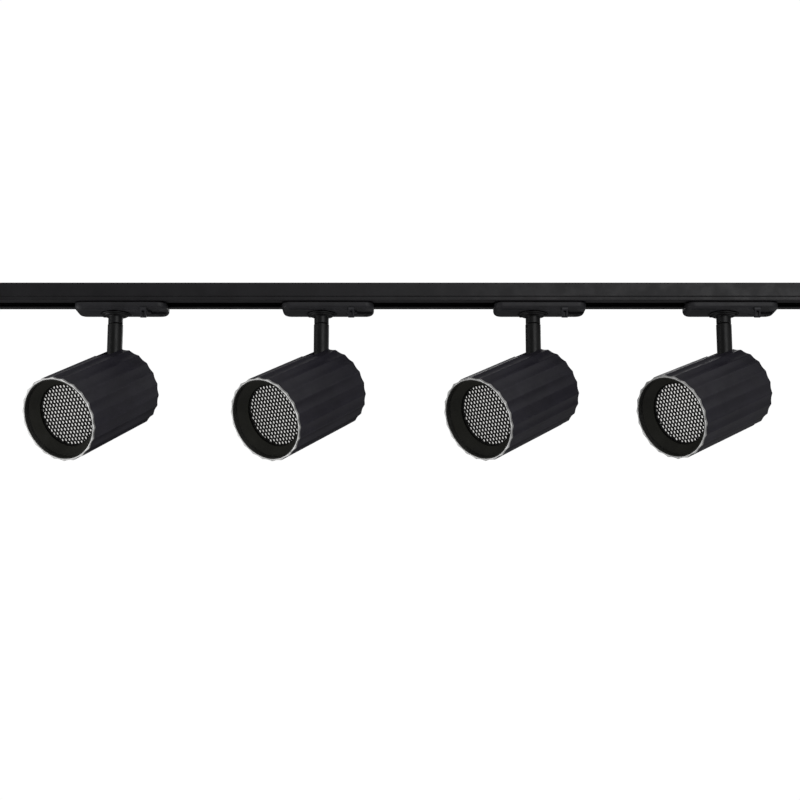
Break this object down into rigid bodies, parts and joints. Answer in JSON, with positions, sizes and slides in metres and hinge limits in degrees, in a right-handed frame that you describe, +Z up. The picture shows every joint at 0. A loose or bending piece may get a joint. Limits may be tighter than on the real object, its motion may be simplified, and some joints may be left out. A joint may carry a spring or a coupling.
{
  "type": "track lighting fixture",
  "caption": "Black ceiling track with fluted cylinder spotlights on sliding adapters; each spot pans and tilts, with a bright scalloped rim and a honeycomb louvre.",
  "frame": {"origin": "centre of the rail's top face, which lies against the ceiling", "axes": "+X along the track to the right as seen from the front, +Y towards the back, +Z up out of the ceiling face"},
  "size_m": [1.0616, 0.1294, 0.1689],
  "materials": {
    "rail_black": "satin black powder coat",
    "painted_black": "satin black paint, faint blue cast",
    "moulded_black": "fine matt moulding",
    "baffle_black": "matt anti-glare black",
    "louvre_black": "matt black honeycomb",
    "bright_aluminium": "machined, bare",
    "lamp_white": "white lamp body, frosted lens",
    "ceramic": "unglazed ceramic",
    "copper": "bare copper",
    "steel": "plain turned",
    "liner_black": "extruded insulating plastic"
  },
  "bodies": {
    "track": {"track_rail": "rail_black", "liner_front": "liner_black", "liner_rear": "liner_black", "conductor_front": "copper", "conductor_rear": "copper", "end_cap": "moulded_black", "feed_housing": "moulded_black", "feed_cover": "moulded_black"},
    "adapter_1": {"adapter_body_1": "moulded_black", "stem_socket_1": "painted_black"},
    "lever_1": {"lock_lever_1": "moulded_black", "contact_blade_front_1": "copper", "contact_blade_rear_1": "copper"},
    "stem_1": {"stem_tube_1": "painted_black"},
    "head_1": {"tilt_pin_1": "steel", "head_housing_1": "painted_black", "front_ring_1": "bright_aluminium", "baffle_1": "baffle_black", "honeycomb_1": "louvre_black", "lamp_1": "lamp_white", "lamp_holder_1": "ceramic"},
    "adapter_2": {"adapter_body_2": "moulded_black", "stem_socket_2": "painted_black"},
    "lever_2": {"lock_lever_2": "moulded_black", "contact_blade_front_2": "copper", "contact_blade_rear_2": "copper"},
    "stem_2": {"stem_tube_2": "painted_black"},
    "head_2": {"tilt_pin_2": "steel", "head_housing_2": "painted_black", "front_ring_2": "bright_aluminium", "baffle_2": "baffle_black", "honeycomb_2": "louvre_black", "lamp_2": "lamp_white", "lamp_holder_2": "ceramic"},
    "adapter_3": {"adapter_body_3": "moulded_black", "stem_socket_3": "painted_black"},
    "lever_3": {"lock_lever_3": "moulded_black", "contact_blade_front_3": "copper", "contact_blade_rear_3": "copper"},
    "stem_3": {"stem_tube_3": "painted_black"},
    "head_3": {"tilt_pin_3": "steel", "head_housing_3": "painted_black", "front_ring_3": "bright_aluminium", "baffle_3": "baffle_black", "honeycomb_3": "louvre_black", "lamp_3": "lamp_white", "lamp_holder_3": "ceramic"},
    "adapter_4": {"adapter_body_4": "moulded_black", "stem_socket_4": "painted_black"},
    "lever_4": {"lock_lever_4": "moulded_black", "contact_blade_front_4": "copper", "contact_blade_rear_4": "copper"},
    "stem_4": {"stem_tube_4": "painted_black"},
    "head_4": {"tilt_pin_4": "steel", "head_housing_4": "painted_black", "front_ring_4": "bright_aluminium", "baffle_4": "baffle_black", "honeycomb_4": "louvre_black", "lamp_4": "lamp_white", "lamp_holder_4": "ceramic"}
  },
  "joints": [
    {"name": "adapter_slide_1", "type": "slide", "parent": "track", "child": "adapter_1", "axis": [1, 0, 0], "range_m": [-0.15, 0.045]},
    {"name": "lever_turn_1", "type": "hinge", "parent": "adapter_1", "child": "lever_1", "pos_m": [-0.2333, 0, -0.0235], "axis": [0, 0, 1], "range_deg": [0, 90]},
    {"name": "stem_pan_1", "type": "hinge", "parent": "adapter_1", "child": "stem_1", "pos_m": [-0.261, 0, -0.0354], "axis": [0, 0, 1], "range_deg": [-146.5, 203.5]},
    {"name": "head_tilt_1", "type": "hinge", "parent": "stem_1", "child": "head_1", "pos_m": [-0.261, 0, -0.0991], "axis": [0.8788, -0.4772, 0], "range_deg": [-25.5, 64.5]},
    {"name": "adapter_slide_2", "type": "slide", "parent": "track", "child": "adapter_2", "axis": [1, 0, 0], "range_m": [-0.045, 0.045]},
    {"name": "lever_turn_2", "type": "hinge", "parent": "adapter_2", "child": "lever_2", "pos_m": [-0.0443, 0, -0.0235], "axis": [0, 0, 1], "range_deg": [0, 90]},
    {"name": "stem_pan_2", "type": "hinge", "parent": "adapter_2", "child": "stem_2", "pos_m": [-0.072, 0, -0.0354], "axis": [0, 0, 1], "range_deg": [-137.5, 212.5]},
    {"name": "head_tilt_2", "type": "hinge", "parent": "stem_2", "child": "head_2", "pos_m": [-0.072, 0, -0.0991], "axis": [0.7934, -0.6088, 0], "range_deg": [-25, 65]},
    {"name": "adapter_slide_3", "type": "slide", "parent": "track", "child": "adapter_3", "axis": [1, 0, 0], "range_m": [-0.045, 0.04]},
    {"name": "lever_turn_3", "type": "hinge", "parent": "adapter_3", "child": "lever_3", "pos_m": [0.1497, 0, -0.0235], "axis": [0, 0, 1], "range_deg": [0, 90]},
    {"name": "stem_pan_3", "type": "hinge", "parent": "adapter_3", "child": "stem_3", "pos_m": [0.122, 0, -0.0354], "axis": [0, 0, 1], "range_deg": [-129.5, 220.5]},
    {"name": "head_tilt_3", "type": "hinge", "parent": "stem_3", "child": "head_3", "pos_m": [0.122, 0, -0.0991], "axis": [0.7009, -0.7133, 0], "range_deg": [-24, 66]},
    {"name": "adapter_slide_4", "type": "slide", "parent": "track", "child": "adapter_4", "axis": [1, 0, 0], "range_m": [-0.04, 0.13]},
    {"name": "lever_turn_4", "type": "hinge", "parent": "adapter_4", "child": "lever_4", "pos_m": [0.3247, 0, -0.0235], "axis": [0, 0, 1], "range_deg": [0, 90]},
    {"name": "stem_pan_4", "type": "hinge", "parent": "adapter_4", "child": "stem_4", "pos_m": [0.297, 0, -0.0354], "axis": [0, 0, 1], "range_deg": [-124.5, 225.5]},
    {"name": "head_tilt_4", "type": "hinge", "parent": "stem_4", "child": "head_4", "pos_m": [0.297, 0, -0.0991], "axis": [0.6361, -0.7716, 0], "range_deg": [-22, 68]}
  ]
}
